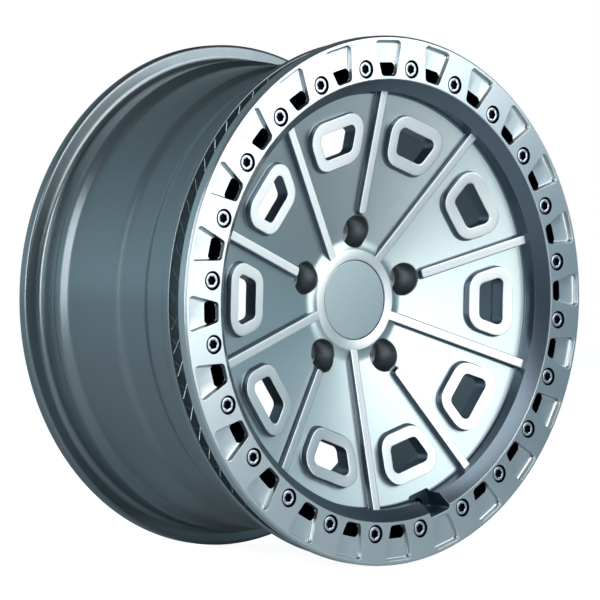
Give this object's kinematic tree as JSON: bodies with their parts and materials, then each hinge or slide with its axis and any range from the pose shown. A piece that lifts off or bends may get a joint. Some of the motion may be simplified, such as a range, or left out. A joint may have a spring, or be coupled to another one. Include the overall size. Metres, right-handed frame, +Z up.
{
  "type": "car wheel",
  "caption": "Forged car wheel with a deep ribbed dish, framed windows, sunk lug pockets and a bolted bead clamp ring at the front; bolts to a vehicle's hub.",
  "frame": {"origin": "centre of the hub mounting face, on the axle line", "axes": "+Y along the axle towards the vehicle, -Y to the street side, +Z up through a lug hole"},
  "size_m": [0.4958, 0.254, 0.4958],
  "materials": {
    "forged_body": "satin silver with machined rib tops",
    "clamp_ring": "satin machined",
    "bolt_steel": "satin plated",
    "seat_steel": "dark satin",
    "cap": "satin silver",
    "spring_steel": "bright wire"
  },
  "bodies": {
    "root": {"wheel_body": "forged_body", "beadlock_ring": "clamp_ring", "ring_bolts": "bolt_steel", "lug_seat_sleeves": "seat_steel", "centre_cap": "cap", "cap_retaining_ring": "spring_steel"}
  },
  "joints": []
}
